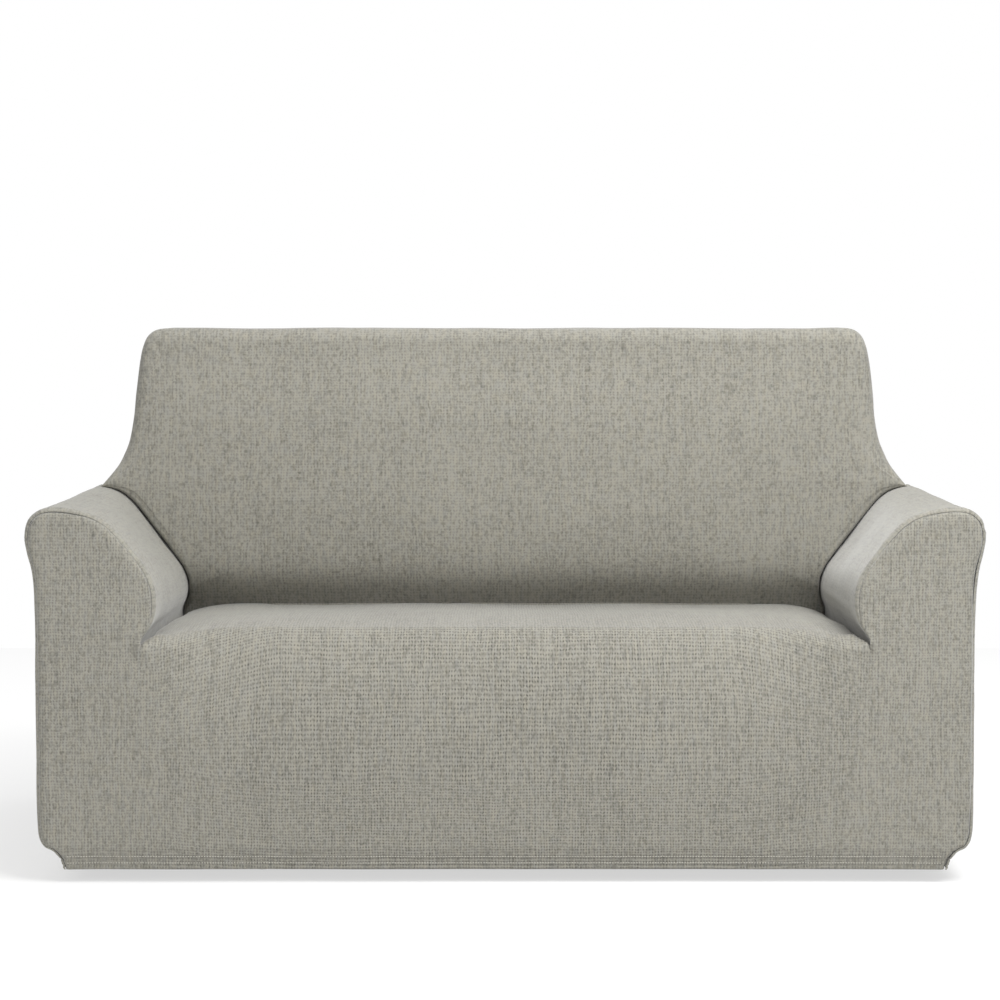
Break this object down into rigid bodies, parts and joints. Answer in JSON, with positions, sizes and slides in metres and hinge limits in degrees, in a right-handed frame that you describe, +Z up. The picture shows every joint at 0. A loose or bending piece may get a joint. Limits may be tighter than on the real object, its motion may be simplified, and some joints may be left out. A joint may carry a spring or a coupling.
{
  "type": "fitted stretch slipcover for a two-seat sofa",
  "caption": "Hollow fitted stretch cover that goes over a two-seat sofa, with seat and apron in one cloth, arm bands, an inside back drawn over the top and an outside back",
  "frame": {"origin": "under the middle of the cover, level with its hem", "axes": "X across the seat with the sitter's left arm at +X, the front faces -Y, Z up"},
  "size_m": [1.6, 0.85, 0.906],
  "materials": {
    "weave": "matt melange stretch weave, grey-beige"
  },
  "bodies": {
    "root": {"front_panel": "weave", "arm_panel_left": "weave", "arm_panel_right": "weave", "inside_back": "weave", "outside_back": "weave"}
  },
  "joints": []
}
